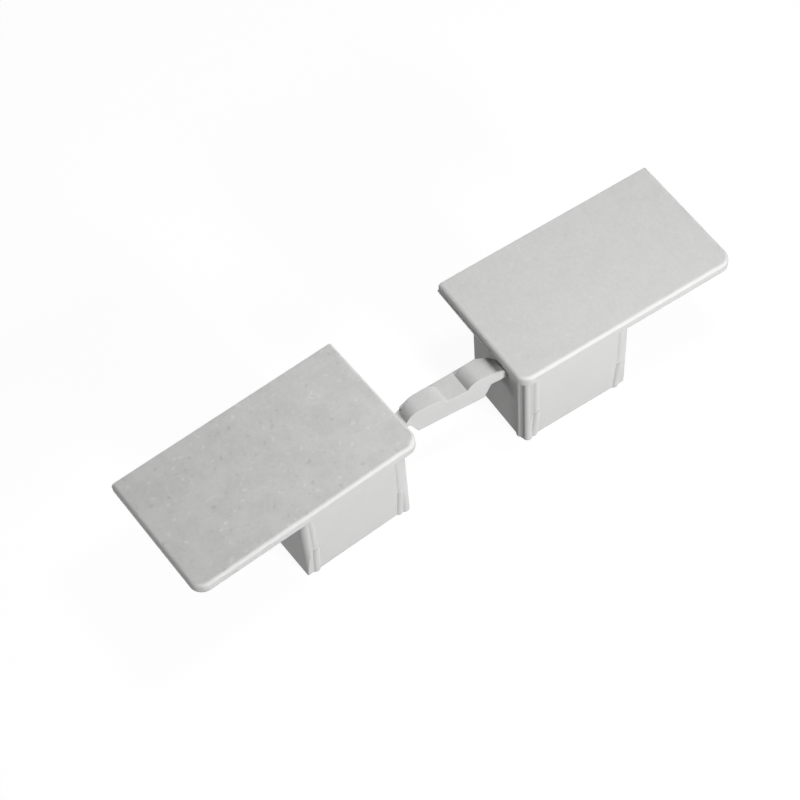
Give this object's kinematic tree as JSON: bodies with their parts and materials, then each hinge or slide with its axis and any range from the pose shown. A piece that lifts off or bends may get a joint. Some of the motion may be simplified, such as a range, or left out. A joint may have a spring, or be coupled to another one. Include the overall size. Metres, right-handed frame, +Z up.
{
  "type": "roller shutter end cap",
  "caption": "Roller shutter end cap moulding: flat cover plates on hollow plugs that push into guide rail ends, joined by a short humped break-off link.",
  "frame": {"origin": "on the surface the plugs stand on, below the middle of the moulding's outline in plan", "axes": "+X along the right cap from the link to its outer end, +Y from the plates' rounded front edge to their back, +Z up out of the plates' top faces"},
  "size_m": [0.1142, 0.0289, 0.0234],
  "materials": {
    "plastic": "fine matt moulded surface, light grey"
  },
  "bodies": {
    "root": {"end_cap_pair": "plastic"}
  },
  "joints": []
}
